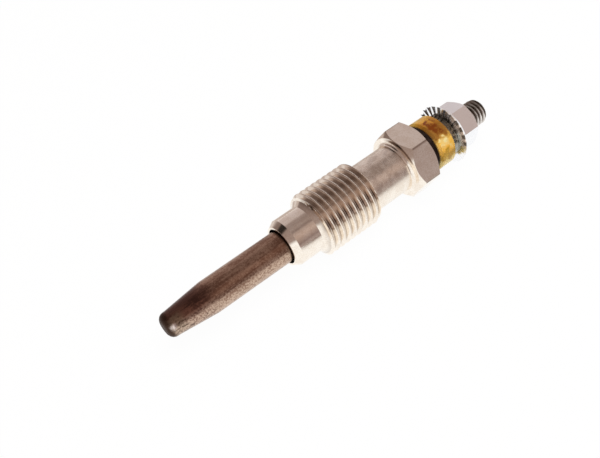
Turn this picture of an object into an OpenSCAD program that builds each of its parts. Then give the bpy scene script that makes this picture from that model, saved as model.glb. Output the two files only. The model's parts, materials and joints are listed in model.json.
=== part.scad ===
// Sheathed-element glow plug for a diesel engine, lying on one flat of its hexagon.
// The axis runs along +X from the hot tip to the terminal, and X = 0 is the front face of the nose.

/* [Heater tube] */
// Outer diameter of the heater tube
tube_d = 6; // [5.6:0.1:6.3]
// Wall thickness of the heater tube
tube_wall = 0.75; // [0.5:0.05:0.8]
// Length of tube that stands out of the nose
tube_out = 24.1; // [20:0.1:32]
// Depth of tube pressed into the shell, from the nose face
tube_in = 15; // [12:0.5:18]
// Outer diameter where the swaged taper meets the rounded tip
tip_d = 4.45; // [4.2:0.05:5.4]
// Radius of the rounded edge of the tip
tip_round = 1.3; // [0.8:0.1:1.6]
// Length of the swaged taper
taper_len = 7.5; // [4:0.5:12]
// Thickness of the closed end
tip_wall = 1; // [0.8:0.1:1.2]
// Length of the seal in the open end of the tube
tube_seal_len = 2.5; // [1.5:0.1:4]

/* [Coils] */
// Diameter of the resistance wire
wire_d = 0.4; // [0.25:0.05:0.5]
// Turns of the heating coil
heating_turns = 9; // [6:1:11]
// Rise of each half turn of the heating coil, as a share of the coil's diameter
heating_rise_ratio = 0.2; // [0.16:0.01:0.25]
// Turns of the control coil
control_turns = 12; // [8:1:14]
// Rise of each half turn of the control coil, as a share of the coil's diameter
control_rise_ratio = 0.22; // [0.16:0.01:0.27]

/* [Shell] */
// Diameter of the nose
nose_d = 8.9; // [8.4:0.1:10]
// Length of the nose, from its face to the thread's chamfer
nose_len = 5.6; // [3:0.1:9]
// Width of the flat ring on the face of the nose
nose_lip = 0.36; // [0.2:0.02:0.5]
// Included angle of the sealing cone
seat_angle = 60; // [45:1:90]
// Gap round the tube in the mouth of the nose
mouth_gap = 0.4; // [0.2:0.05:0.5]
// Depth of the mouth
mouth_depth = 4; // [2:0.5:8]
// Major diameter of the mounting thread
thread_d = 12; // [11:0.5:14]
// Length of the threaded part, with both its chamfers
thread_len = 12.8; // [8:0.1:20]
// Axial length of the chamfer at the front of the thread
thread_lead = 0.9; // [0.6:0.05:2]
// Axial length of the chamfer at the back of the thread
thread_runout = 0.9; // [0.4:0.05:2]
// Diameter of the shank between the thread and the hexagon
shank_d = 9.2; // [8.6:0.1:10.4]
// Length of the shank
shank_len = 8.35; // [4:0.05:20]
// Width across the flats of the hexagon
hex_af = 12; // [12:0.5:14]
// Length of the hexagon, from face to face
hex_len = 5.15; // [4:0.05:8]
// Diameter of the round front face of the hexagon
hex_front_d = 11.9; // [11:0.1:12]
// Slope of the front chamfer of the hexagon
hex_front_slope = 44; // [15:1:50]
// Diameter of the round back face of the hexagon
hex_back_d = 11.2; // [10.4:0.1:12]
// Slope of the back chamfer of the hexagon
hex_back_slope = 35; // [15:1:40]
// Diameter of the bore round the rod
rod_bore_d = 5.4; // [5.2:0.1:5.8]
// Diameter of the counterbore that holds the gasket and the insulator
counterbore_d = 7.8; // [7.4:0.1:8.4]
// Depth of the counterbore
counterbore_depth = 5; // [4.5:0.1:8]

/* [Centre rod] */
// Diameter of the rod inside the heater tube
rod_front_d = 3.4; // [2.8:0.1:3.8]
// Diameter of the rod inside the shell
rod_d = 4.4; // [4:0.1:4.8]
// Length of the spigot that the control coil is welded on
spigot_len = 2.2; // [1:0.1:4]
// Major diameter of the terminal thread
stud_d = 5; // [4.8:0.1:5.1]
// Length of the terminal thread
stud_len = 22; // [18:0.5:26]
// Length of the terminal that stands out of the nut
stud_out = 4.3; // [2:0.1:12]
// Chamfer at the end of the terminal
stud_chamfer = 0.5; // [0.2:0.1:1]

/* [Insulator and gasket] */
// Diameter of the gasket
gasket_d = 9.4; // [8.6:0.1:10]
// Thickness of the gasket between the hexagon and the insulator
gasket_t = 1.5; // [0.8:0.1:3]
// Length of the gasket's skirt inside the shell
skirt_len = 3; // [1:0.1:4]
// Diameter of the insulator's flange
insulator_d = 9.9; // [9:0.1:12]
// Thickness of the insulator's flange
insulator_t = 3.9; // [2:0.1:6]
// Chamfer at the front edge of the insulator's flange
insulator_front_chamfer = 0.6; // [0.2:0.1:1]
// Chamfer at the back edge of the insulator's flange
insulator_back_chamfer = 0.3; // [0.1:0.1:0.8]
// Outer diameter of the insulator's sleeve
sleeve_d = 6.6; // [6.2:0.1:7]
// Depth of the insulator's sleeve inside the shell
sleeve_depth = 4.2; // [2:0.1:4.4]
// Gap round the rod in the insulator
insulator_gap = 0.06; // [0.02:0.02:0.2]

/* [Nuts] */
// Diameter of the round nut
round_nut_d = 8.4; // [7.4:0.1:9.6]
// Thickness of the round nut
round_nut_t = 1.5; // [1:0.1:4]
// Chamfer at both edges of the round nut
round_nut_chamfer = 0.2; // [0.1:0.05:0.4]
// Width across the flats of the terminal nut
nut_af = 8; // [7.5:0.5:9]
// Height of the terminal nut with its flange
nut_h = 5.3; // [4:0.1:8]
// Turn of the terminal nut about the axis
nut_turn = 39.5; // [0:0.5:60]
// Diameter of the flange
flange_d = 11.8; // [10.5:0.1:11.9]
// Thickness of the flange at its rim
flange_rim = 0.8; // [0.6:0.05:1.2]
// Draft of the rim, which narrows towards the hexagon
rim_draft = 32; // [0:1:40]
// Slope of the back of the flange
flange_slope = 20; // [5:1:35]
// Diameter of the round top face of the terminal nut
nut_top_d = 7.4; // [6.6:0.1:8]
// Slope of the chamfer at the top of the terminal nut
nut_top_slope = 30; // [15:1:40]
// Countersink at the top of the terminal nut's thread
nut_countersink = 0.35; // [0.1:0.05:0.6]
// Number of serrations under the flange
serrations = 24; // [12:1:32]
// Depth of a serration at the rim
serration_depth = 0.42; // [0.2:0.02:0.5]
// Diameter at which the serrations begin
serration_in_d = 6.6; // [6:0.1:8]

/* [Hidden] */
// Gap between pieces that are pressed, packed or screwed together
fit = 0.02;
// Reach of a cutting shape past the surface that it cuts
past = 0.5;
// Share of the pitch of the serrations that each groove takes up at the rim
groove_share = 0.9;
// Segments of a full circle
$fn = 64;

// Radii
tube_r = tube_d / 2;
tube_bore_r = tube_r - tube_wall;
tip_r = tip_d / 2;
tip_bore_r = tip_r - tube_wall;
wire_r = wire_d / 2;
coil_r = tip_bore_r - wire_r - 4 * fit;
spigot_r = coil_r * sqrt(1 - control_rise_ratio ^ 2) - wire_r - fit;
mouth_r = tube_r + mouth_gap;
face_r = mouth_r + nose_lip;
nose_r = nose_d / 2;
thread_r = thread_d / 2;
shank_r = shank_d / 2;
counterbore_r = counterbore_d / 2;
sleeve_r = sleeve_d / 2;
stud_r = stud_d / 2;
flange_r = flange_d / 2;
serration_in_r = serration_in_d / 2;

// Stations along the axis, from the tip to the terminal
tip_x = -tube_out;
taper_x = tip_x + tip_round;
tube_x = taper_x + taper_len;
cavity_x = tip_x + tip_wall;
coil_x = cavity_x + wire_r + fit;
weld_x = coil_x + heating_turns * coil_pitch(heating_rise_ratio);
coil_end_x = weld_x + control_turns * coil_pitch(control_rise_ratio);
shoulder_x = coil_end_x + wire_d;
seal_x = tube_in - tube_seal_len;
rod_step_x = tube_in + tube_wall;
cone_x = (nose_r - face_r) / tan(seat_angle / 2);
thread_end_x = nose_len + thread_len;
hex_x = thread_end_x + shank_len;
gasket_x = hex_x + hex_len;
counterbore_x = gasket_x - counterbore_depth;
insulator_x = gasket_x + gasket_t;
sleeve_x = gasket_x - sleeve_depth;
round_nut_x = insulator_x + insulator_t;
nut_x = round_nut_x + round_nut_t;
nut_top_x = nut_x + nut_h;
stud_end_x = nut_top_x + stud_out;
stud_x = stud_end_x - stud_len;

// Solid of revolution about the plug's axis, from points of radius and station
module turned(points) {
    rotate([0, 90, 0]) rotate_extrude() polygon(points);
}

// Hexagonal bar along the axis between two stations, with a flat down when turn is zero
module hexagon(across_flats, from_x, to_x, turn = 0) {
    translate([from_x, 0, 0])
        rotate([0, 90, 0])
            rotate([0, 0, 30 + turn])
                cylinder(r = across_flats / 2 / cos(30), h = to_x - from_x, $fn = 6);
}

// Distance along the axis from one turn of a coil to the next
function coil_pitch(rise) = 4 * coil_r * rise;

// Half a turn of round wire, from +X over +Y to -X, climbing half a pitch
module half_turn(rise, wire_radius) {
    translate([0, 0, coil_r * rise])
        rotate([0, asin(rise), 0])
            rotate_extrude(angle = 180)
                translate([coil_r, 0]) circle(r = wire_radius);
}

// Helix of half turns along the axis, each tangent to the next
module wound_wire(from_x, turns, rise, wire_radius) {
    for (half = [0 : 2 * turns - 1])
        translate([from_x + half * coil_pitch(rise) / 2, 0, 0])
            rotate([0, 90, 0])
                rotate([0, 0, 180 * half])
                    half_turn(rise, wire_radius);
}

// Outline of the space inside the heater tube, drawn in by a gap, from the closed end to a station
function cavity_outline(gap, end_x) = [
    [0, cavity_x + gap],
    [tip_bore_r - gap, cavity_x + gap],
    [tip_bore_r - gap, max(taper_x, cavity_x + 2 * gap)],
    [tube_bore_r - gap, tube_x],
    [tube_bore_r - gap, end_x],
    [0, end_x]
];

// Turned steel body with the nose, the mounting thread's blank, the shank and the hexagon
module shell() {
    corner_r = hex_af / 2 / cos(30) + past;
    front_r = hex_front_d / 2;
    back_r = hex_back_d / 2;
    color("silver")
        difference() {
            union() {
                turned([
                    [0, 0],
                    [face_r, 0],
                    [nose_r, cone_x],
                    [nose_r, nose_len],
                    [thread_r, nose_len + thread_lead],
                    [thread_r, thread_end_x - thread_runout],
                    [shank_r, thread_end_x],
                    [shank_r, hex_x + past],
                    [0, hex_x + past]
                ]);
                intersection() {
                    hexagon(hex_af, hex_x, gasket_x);
                    turned([
                        [0, hex_x],
                        [front_r, hex_x],
                        [corner_r, hex_x + (corner_r - front_r) * tan(hex_front_slope)],
                        [corner_r, gasket_x - (corner_r - back_r) * tan(hex_back_slope)],
                        [back_r, gasket_x],
                        [0, gasket_x]
                    ]);
                }
            }
            turned([
                [0, -past],
                [mouth_r, -past],
                [mouth_r, mouth_depth],
                [tube_r + fit, mouth_depth],
                [tube_r + fit, tube_in],
                [rod_bore_d / 2, tube_in],
                [rod_bore_d / 2, counterbore_x],
                [counterbore_r, counterbore_x],
                [counterbore_r, gasket_x + past],
                [0, gasket_x + past]
            ]);
        }
}

// Closed metal tube with a rounded tip and a swaged taper
module heater_tube() {
    flat_r = tip_r - tip_round;
    color("saddlebrown")
        difference() {
            union() {
                turned([
                    [0, tip_x],
                    [flat_r, tip_x],
                    [flat_r, taper_x],
                    [tip_r, taper_x],
                    [tube_r, tube_x],
                    [tube_r, tube_in],
                    [0, tube_in]
                ]);
                rotate([0, 90, 0])
                    rotate_extrude()
                        intersection() {
                            translate([flat_r, taper_x]) circle(r = tip_round);
                            translate([flat_r, tip_x]) square(tip_round);
                        }
            }
            turned(cavity_outline(0, tube_in + past));
        }
}

// Heating coil, welded into the closed tip
module heating_coil() {
    color("goldenrod") wound_wire(coil_x, heating_turns, heating_rise_ratio, wire_r);
}

// Control coil, welded between the heating coil and the rod
module control_coil() {
    color("darkkhaki") wound_wire(weld_x, control_turns, control_rise_ratio, wire_r);
}

// Packed magnesia powder round the coils and the front of the rod
module magnesia_filling() {
    color("whitesmoke")
        difference() {
            turned(cavity_outline(fit, seal_x - fit));
            wound_wire(coil_x, heating_turns, heating_rise_ratio, wire_r + fit);
            wound_wire(weld_x, control_turns, control_rise_ratio, wire_r + fit);
            turned([
                [0, coil_end_x - spigot_len - fit],
                [coil_r, coil_end_x - spigot_len - fit],
                [coil_r, shoulder_x - fit],
                [rod_front_d / 2 + fit, shoulder_x - fit],
                [rod_front_d / 2 + fit, seal_x + past],
                [0, seal_x + past]
            ]);
        }
}

// Seal ring in the open end of the heater tube
module tube_seal() {
    color("dimgray")
        turned([
            [rod_front_d / 2 + fit, seal_x],
            [tube_bore_r - fit, seal_x],
            [tube_bore_r - fit, tube_in],
            [rod_front_d / 2 + fit, tube_in]
        ]);
}

// Steel rod from the control coil to the terminal, with a spigot in front and a thread behind
module centre_rod() {
    color("slategray")
        turned([
            [0, coil_end_x - spigot_len],
            [spigot_r, coil_end_x - spigot_len],
            [spigot_r, shoulder_x],
            [rod_front_d / 2, shoulder_x],
            [rod_front_d / 2, rod_step_x],
            [rod_d / 2, rod_step_x],
            [rod_d / 2, stud_x],
            [stud_r, stud_x],
            [stud_r, stud_end_x - stud_chamfer],
            [stud_r - stud_chamfer, stud_end_x],
            [0, stud_end_x]
        ]);
}

// Rubber ring between the hexagon and the insulator, with a skirt inside the shell
module gasket() {
    color("black")
        turned([
            [sleeve_r + fit, gasket_x - skirt_len],
            [counterbore_r - fit, gasket_x - skirt_len],
            [counterbore_r - fit, gasket_x],
            [gasket_d / 2, gasket_x],
            [gasket_d / 2, insulator_x],
            [sleeve_r + fit, insulator_x]
        ]);
}

// Amber flanged bush that keeps the rod apart from the shell
module insulator() {
    flange_edge_r = insulator_d / 2;
    bore_r = stud_r + insulator_gap;
    color("orange")
        turned([
            [bore_r, sleeve_x],
            [sleeve_r, sleeve_x],
            [sleeve_r, insulator_x],
            [flange_edge_r - insulator_front_chamfer, insulator_x],
            [flange_edge_r, insulator_x + insulator_front_chamfer],
            [flange_edge_r, round_nut_x - insulator_back_chamfer],
            [flange_edge_r - insulator_back_chamfer, round_nut_x],
            [bore_r, round_nut_x]
        ]);
}

// Round nut that clamps the insulator on the gasket
module round_nut() {
    edge_r = round_nut_d / 2;
    color("darkslategray")
        turned([
            [stud_r + fit, round_nut_x],
            [edge_r - round_nut_chamfer, round_nut_x],
            [edge_r, round_nut_x + round_nut_chamfer],
            [edge_r, nut_x - round_nut_chamfer],
            [edge_r - round_nut_chamfer, nut_x],
            [stud_r + fit, nut_x]
        ]);
}

// Groove under the flange, steep at one side, which starts at nothing and deepens towards the rim
module serration() {
    run = flange_r - serration_in_r;
    width = groove_share * 2 * PI * flange_r / serrations;
    slope = atan2(serration_depth, run);
    overshoot = (run + past) / run;
    translate([nut_x, 0, 0])
        rotate([0, 90, 0])
            translate([serration_in_r, 0, 0])
                rotate([0, -slope, 0])
                    rotate([90, 0, 90])
                        translate([0, 0, -past])
                            linear_extrude(height = run + 2 * past)
                                polygon([
                                    [0, 0],
                                    [width * overshoot, -serration_depth * overshoot],
                                    [0, -serration_depth * overshoot]
                                ]);
}

// Plated flange nut on the terminal thread, serrated where it faces the round nut
module terminal_nut() {
    corner_r = nut_af / 2 / cos(30) + past;
    top_r = nut_top_d / 2;
    rim_r = flange_r - flange_rim * tan(rim_draft);
    cone_rise = (rim_r - stud_r) * tan(flange_slope);
    color("lightgray")
        difference() {
            union() {
                turned([
                    [0, nut_x],
                    [flange_r, nut_x],
                    [rim_r, nut_x + flange_rim],
                    [stud_r, nut_x + flange_rim + cone_rise],
                    [0, nut_x + flange_rim + cone_rise]
                ]);
                intersection() {
                    hexagon(nut_af, nut_x + flange_rim, nut_top_x, nut_turn);
                    turned([
                        [0, nut_x],
                        [corner_r, nut_x],
                        [corner_r, nut_top_x - (corner_r - top_r) * tan(nut_top_slope)],
                        [top_r, nut_top_x],
                        [0, nut_top_x]
                    ]);
                }
            }
            turned([
                [0, nut_x - past],
                [stud_r + fit, nut_x - past],
                [stud_r + fit, nut_top_x - nut_countersink],
                [stud_r + fit + nut_countersink + past, nut_top_x + past],
                [0, nut_top_x + past]
            ]);
            for (tooth = [0 : serrations - 1])
                rotate([tooth * 360 / serrations, 0, 0]) serration();
        }
}

shell();
heater_tube();
heating_coil();
control_coil();
magnesia_filling();
tube_seal();
centre_rod();
gasket();
insulator();
round_nut();
terminal_nut();
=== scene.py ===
import json
import math

import bmesh
import bpy
from mathutils import Matrix, Quaternion, Vector


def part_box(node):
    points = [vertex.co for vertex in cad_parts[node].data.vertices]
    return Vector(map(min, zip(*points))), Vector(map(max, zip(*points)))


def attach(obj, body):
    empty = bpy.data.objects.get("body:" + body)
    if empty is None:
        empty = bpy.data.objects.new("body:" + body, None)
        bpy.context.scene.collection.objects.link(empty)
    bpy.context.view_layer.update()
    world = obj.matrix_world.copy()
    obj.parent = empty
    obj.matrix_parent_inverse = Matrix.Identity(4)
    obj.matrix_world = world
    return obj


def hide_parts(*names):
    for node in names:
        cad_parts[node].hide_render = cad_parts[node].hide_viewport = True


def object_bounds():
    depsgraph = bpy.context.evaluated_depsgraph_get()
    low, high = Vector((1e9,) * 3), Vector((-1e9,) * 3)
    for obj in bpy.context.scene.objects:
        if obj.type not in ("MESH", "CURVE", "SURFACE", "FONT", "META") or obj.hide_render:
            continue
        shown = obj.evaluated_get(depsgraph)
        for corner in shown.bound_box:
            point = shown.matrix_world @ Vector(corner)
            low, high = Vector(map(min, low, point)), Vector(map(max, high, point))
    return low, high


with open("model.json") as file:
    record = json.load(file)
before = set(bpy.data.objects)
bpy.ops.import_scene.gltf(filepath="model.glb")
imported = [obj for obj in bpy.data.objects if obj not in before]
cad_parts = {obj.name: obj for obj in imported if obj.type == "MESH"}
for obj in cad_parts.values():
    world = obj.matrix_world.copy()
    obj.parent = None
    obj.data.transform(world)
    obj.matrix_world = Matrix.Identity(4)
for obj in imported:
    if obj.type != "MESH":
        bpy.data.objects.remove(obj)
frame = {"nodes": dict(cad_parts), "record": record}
cad_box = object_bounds()

# Heating coil and control coil
# Two helices of drawn resistance wire, welded end to end inside the heater tube.
# The first is welded into the closed tip and the second onto the centre rod.
WIRE_PALE = (0.52, 0.47, 0.41, 1)
WIRE_DARK = (0.31, 0.27, 0.23, 1)
WIRE_GRAIN = 2500.0


class Signal:
    """An output socket of a node tree. Arithmetic on signals adds Math nodes to the tree."""

    def __init__(self, tree, socket=None):
        self.tree = tree
        self.socket = socket

    def node(self, kind, sockets=None, settings=None, output=0):
        """Adds a node with its settings, then its sockets' values or links, and gives one of its outputs."""
        made = self.tree.nodes.new(kind)
        for name, value in (settings or {}).items():
            if name == "stops":
                ramp = made.color_ramp.elements
                while len(ramp) < len(value):
                    ramp.new(1.0)
                for element, (position, colour) in zip(ramp, value):
                    element.position = position
                    element.color = colour
            else:
                setattr(made, name, value)
        for name, value in (sockets or {}).items():
            if isinstance(value, Signal):
                self.tree.links.new(value.socket, made.inputs[name])
            else:
                made.inputs[name].default_value = value
        return Signal(self.tree, made.outputs[output])

    def math(self, operation, *values):
        return self.node("ShaderNodeMath", dict(enumerate(values)), {"operation": operation})

    def __add__(self, other):
        return self.math("ADD", self, other)

    __radd__ = __add__

    def __sub__(self, other):
        return self.math("SUBTRACT", self, other)

    def __rsub__(self, other):
        return self.math("SUBTRACT", other, self)

    def __mul__(self, other):
        return self.math("MULTIPLY", self, other)

    __rmul__ = __mul__

    def __truediv__(self, other):
        return self.math("DIVIDE", self, other)

    def either(self, other):
        """The larger of two signals."""
        return self.math("MAXIMUM", self, other)

    def rise(self, low, high):
        """Goes smoothly from 0 at low to 1 at high."""
        sockets = {"Value": self, "From Min": low, "From Max": high}
        return self.node("ShaderNodeMapRange", sockets, {"interpolation_type": "SMOOTHSTEP"})

    def between(self, start, end):
        """Goes up to 1 over the first pair of values, and back to 0 over the second."""
        return self.rise(*start) * (1 - self.rise(*end))

    def stray(self, noise, width):
        """This signal, moved up and down by a noise within a width."""
        return self + width * (noise - 0.5)

    def tint(self, at_zero, at_one):
        """Colour between two colours, by this signal."""
        return self.node("ShaderNodeMix", {0: self, 6: at_zero, 7: at_one}, {"data_type": "RGBA"}, 2)

    def axes(self):
        """X, Y and Z of these coordinates."""
        return [self.node("ShaderNodeSeparateXYZ", {0: self}, output=axis) for axis in range(3)]

    def grain(self, scale, detail=3.0, stretch=(1, 1, 1)):
        """Noise in these coordinates, drawn out along the axes whose stretch is small."""
        placed = self.node("ShaderNodeMapping", {"Vector": self, "Scale": stretch})
        return self.node("ShaderNodeTexNoise", {"Vector": placed, "Scale": scale, "Detail": detail})

    def feed(self, shader, name):
        self.tree.links.new(self.socket, shader.inputs[name])


def new_finish(name, constants):
    """A material with constants on its shader. Gives the material, its shader and the Object coordinates."""
    material = bpy.data.materials.new(name)
    material.use_nodes = True
    shader = material.node_tree.nodes["Principled BSDF"]
    for socket, value in constants.items():
        shader.inputs[socket].default_value = value
    return material, shader, Signal(material.node_tree).node("ShaderNodeTexCoord", output="Object")


def relief(coords, shader, height, depth):
    """Raises the surface by a height signal, by depth metres at most."""
    bump = coords.node("ShaderNodeBump", {"Strength": 1.0, "Distance": depth, "Height": height})
    bump.feed(shader, "Normal")


wire_finish, shader, coords = new_finish("drawn_wire", {"Metallic": 1.0})
drawn = coords.grain(WIRE_GRAIN)
drawn.tint(WIRE_DARK, WIRE_PALE).feed(shader, "Base Color")
(0.3 + 0.2 * drawn).feed(shader, "Roughness")
for node in ("heating_coil", "control_coil"):
    frame["nodes"][node].material_slots[0].material = wire_finish

# Magnesia filling
# White magnesia powder, packed hard round both coils and the front of the rod when the tube is swaged.
# It carries the heat to the tube and keeps the coils from touching it.
MAGNESIA_PALE = (0.88, 0.87, 0.84, 1)
MAGNESIA_DULL = (0.72, 0.70, 0.66, 1)
MAGNESIA_GRAIN = 6000.0
MAGNESIA_RELIEF = 0.00002

magnesia_finish, shader, coords = new_finish("packed_magnesia", {})
powder = coords.grain(MAGNESIA_GRAIN)
powder.tint(MAGNESIA_DULL, MAGNESIA_PALE).feed(shader, "Base Color")
(0.85 + 0.1 * powder).feed(shader, "Roughness")
relief(coords, shader, powder, MAGNESIA_RELIEF)
frame["nodes"]["magnesia_filling"].material_slots[0].material = magnesia_finish

# Heater tube
# Closed tube of heat-resisting steel, swaged to a taper at its rounded tip and browned by heat.
# It holds the coils and the powder, and is pressed into the bore of the shell's nose.
MM = 0.001
COLUMNS = 144
ARC_STEPS = 5
ARC_LEAD = 0.02
SHARP_EDGE = math.radians(28)
TURNED_EDGE = 0.1
TUBE_WALL = 0.75
TIP_WALL = 1.0
TIP_R = 2.225
TIP_ROUNDING = 1.3
TAPER_LEN = 7.5
TAPER_LEAD_LEN = 0.3
TAPER_LEAD_RISE = 0.03
TAPER_EASE = 6.0
TUBE_BROWN = (0.255, 0.142, 0.097, 1)
TUBE_TAN = (0.475, 0.322, 0.238, 1)
TUBE_PAINTED_LIGHT = (0.68, 0.51, 0.39, 1)
TUBE_BURNT = (0.090, 0.045, 0.035, 1)
TUBE_RED = (0.235, 0.118, 0.086, 1)
SOOT_AND_MOUTH_SHADE = (0.080, 0.046, 0.031, 1)
TIP_OLIVE = (0.26, 0.190, 0.135, 1)
TIP_PAINTED_HIGHLIGHT = (0.95, 0.84, 0.78, 1)
# Zones of a finish ALONG the axis and OUT from it are in metres, and those ROUND it are in half turns.
BURNT_ALONG = (-0.0180, -0.0130)
UPPER_TAPER_DARK_ALONG = (-0.0195, -0.0150)
UPPER_TAPER_DARK_ROUND = (-0.24, -0.08)
OLIVE_ALONG = (-0.0217, -0.0200)
OLIVE_ROUND = (-0.16, -0.04)
SOOT_ALONG = (-0.0238, -0.0226)
TUBE_LIGHT_ROUND = (0.03, 0.27)
MOUTH_SHADE_ALONG = (-0.0007, -0.0001)
TIP_HIGHLIGHT_PLACE = (-0.0230, -0.00165, 0.00112)
TIP_HIGHLIGHT_REACH = (0.0001, 0.0008)
SPECKLE = (0.38, 0.62)
TUBE_RELIEF = 0.000018
FRONT_SHARE = 0.609
UP_SHARE = 0.793


def facing(axes):
    """Angle about the axis, in half turns, from the upper front side.
    It is 0.5 low at the front, and -0.5 high at the back."""
    low = -UP_SHARE * axes[1] - FRONT_SHARE * axes[2]
    return low.math("ARCTAN2", low, UP_SHARE * axes[2] - FRONT_SHARE * axes[1]) / math.pi


def extent(node):
    """Front station, back station and radius of a turned node, in millimetres."""
    low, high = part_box(node)
    return low.x / MM, high.x / MM, high.z / MM


def turn_angles(count):
    """Angles of a whole turn in equal steps."""
    return [math.tau * step / count for step in range(count)]


def rounded(corners):
    """Outline through corners of (station, radius, rounding).
    A corner with a rounding becomes an arc, with a short straight piece before and after it."""
    outline = []
    for number, (station, radius, rounding) in enumerate(corners):
        corner = Vector((station, radius))
        if not rounding:
            outline.append(tuple(corner))
            continue
        before = Vector(corners[number - 1][:2]) - corner
        after = Vector(corners[(number + 1) % len(corners)][:2]) - corner
        reach = rounding / math.tan(before.angle(after) / 2)
        before.normalize()
        after.normalize()
        arc_start = corner + before * reach
        arc_end = corner + after * reach
        centre = corner + (before + after).normalized() * math.hypot(rounding, reach)
        sweep = (arc_start - centre).angle_signed(arc_end - centre)
        outline.append(tuple(arc_start + before * ARC_LEAD * rounding))
        for step in range(ARC_STEPS + 1):
            turn = Matrix.Rotation(-sweep * step / ARC_STEPS, 2)
            outline.append(tuple(centre + turn @ (arc_start - centre)))
        outline.append(tuple(arc_end + after * ARC_LEAD * rounding))
    return outline


def spun(rows, angles, ring=False, whole=True):
    """Faces between rows of (station, radius), or functions of the angle, spun about the axis.
    A ring joins the last row to the first, and a whole turn joins the last angle to the first."""
    faces = bmesh.new()
    lines = []
    for row in rows:
        line = []
        for angle in angles:
            station, radius = row(angle) if callable(row) else row
            if radius == 0 and line:
                line.append(line[0])
                continue
            place = Vector((station, radius * math.cos(angle), radius * math.sin(angle)))
            line.append(faces.verts.new(place * MM))
        lines.append(line)
    for near, far in zip(lines, lines[1:] + lines[:1] if ring else lines[1:]):
        for here in range(len(angles) if whole else len(angles) - 1):
            there = (here + 1) % len(angles)
            corners = dict.fromkeys((near[here], near[there], far[there], far[here]))
            if len(corners) > 2:
                faces.faces.new(tuple(corners))
    return faces


def plain_mesh(name, faces):
    """Mesh of faces, which are then freed."""
    mesh = bpy.data.meshes.new(name)
    faces.to_mesh(mesh)
    faces.free()
    return mesh


def finished(name, faces, material):
    """Object from closed faces, with their normals outwards and their sharp edges kept."""
    bmesh.ops.recalc_face_normals(faces, faces=faces.faces)
    mesh = plain_mesh(name, faces)
    mesh.shade_smooth()
    mesh.set_sharp_from_angle(angle=SHARP_EDGE)
    mesh.materials.clear()
    mesh.materials.append(material)
    piece = bpy.data.objects.new(name, mesh)
    bpy.context.scene.collection.objects.link(piece)
    return piece


TURN = turn_angles(COLUMNS)
tip_x, tube_end_x, tube_r = extent("heater_tube")
taper_x = tip_x + TIP_ROUNDING
tube_x = taper_x + TAPER_LEN

tube_finish, shader, coords = new_finish("heat_browned_steel", {"Metallic": 1.0})
axes = coords.axes()
round_tube = facing(axes)
cloud = coords.grain(420.0, 4.0, (0.6, 1, 1))
speck = coords.grain(3000.0, 3.0)
streak = coords.grain(2600.0, 3.0, (0.05, 1, 1))
speckle = speck.rise(*SPECKLE)
blotch = (0.36 * cloud + 0.32 * speck + 0.32 * streak).rise(0.41, 0.59)
burnt = 1 - axes[0].stray(cloud, 0.003).rise(*BURNT_ALONG)
olive = 1 - axes[0].stray(cloud, 0.002).rise(*OLIVE_ALONG)
olive = olive * round_tube.stray(blotch, 0.10).rise(*OLIVE_ROUND)
# the taper is made darker on its upper side, towards the tip
upper_taper_dark = 1 - axes[0].stray(cloud, 0.003).rise(*UPPER_TAPER_DARK_ALONG)
upper_taper_dark = upper_taper_dark * (1 - round_tube.rise(*UPPER_TAPER_DARK_ROUND))
soot = 1 - axes[0].stray(cloud, 0.0012).rise(*SOOT_ALONG)
# painted light: the lower side of the tube is made paler, as light from the ground would make it
lower_side_painted_light = round_tube.stray(blotch, 0.10).rise(*TUBE_LIGHT_ROUND)
# painted highlight: a small pale spot on the tip's rounding stands in for a reflection of the light
from_tip_highlight = coords.node("ShaderNodeVectorMath", {0: coords, 1: TIP_HIGHLIGHT_PLACE}, {"operation": "DISTANCE"}, "Value")
tip_painted_highlight = 1 - from_tip_highlight.stray(speck, 0.0008).rise(*TIP_HIGHLIGHT_REACH)
# painted shade: the tube goes dark just before the shell's mouth, where the mouth shades it; the tip's soot
# uses the same colour
mouth_painted_shade = 0.75 * axes[0].rise(*MOUTH_SHADE_ALONG)
scale = burnt.tint(blotch.tint(TUBE_BROWN, TUBE_TAN), blotch.tint(TUBE_BURNT, TUBE_RED))
scale = olive.tint(scale, blotch.tint(SOOT_AND_MOUTH_SHADE, TIP_OLIVE))
scale = (upper_taper_dark * (0.45 + 0.50 * speckle)).tint(scale, TUBE_BURNT)
scale = (lower_side_painted_light * (0.20 + 0.62 * speckle)).tint(scale, TUBE_PAINTED_LIGHT)
scale = mouth_painted_shade.tint(soot.tint(scale, SOOT_AND_MOUTH_SHADE), SOOT_AND_MOUTH_SHADE)
tip_painted_highlight.tint(scale, TIP_PAINTED_HIGHLIGHT).feed(shader, "Base Color")
(0.18 + 0.14 * speck + 0.06 * streak + 0.3 * soot).feed(shader, "Roughness")
relief(coords, shader, 0.5 * streak + 0.5 * speck, TUBE_RELIEF)

heater_tube = finished("heater_tube_swaged", spun(rounded([
    (tip_x, 0, 0),
    (tip_x, TIP_R, TIP_ROUNDING),
    (taper_x + TAPER_LEAD_LEN, TIP_R + TAPER_LEAD_RISE, 0),
    (tube_x, tube_r, TAPER_EASE),
    (tube_end_x, tube_r, TURNED_EDGE),
    (tube_end_x, tube_r - TUBE_WALL, 0),
    (tube_x, tube_r - TUBE_WALL, 0),
    (taper_x, TIP_R - TUBE_WALL, 0),
    (tip_x + TIP_WALL, TIP_R - TUBE_WALL, 0),
    (tip_x + TIP_WALL, 0, 0),
]), TURN), tube_finish)
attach(heater_tube, "root")
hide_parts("heater_tube")

# Tube seal
# Moulded rubber ring that closes the open end of the heater tube round the centre rod.
# It keeps damp out of the powder and can't be seen from outside.
RUBBER_BLACK = (0.010, 0.006, 0.005, 1)
RUBBER_WORN = (0.026, 0.016, 0.013, 1)
RUBBER_RELIEF = 0.000015

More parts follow.
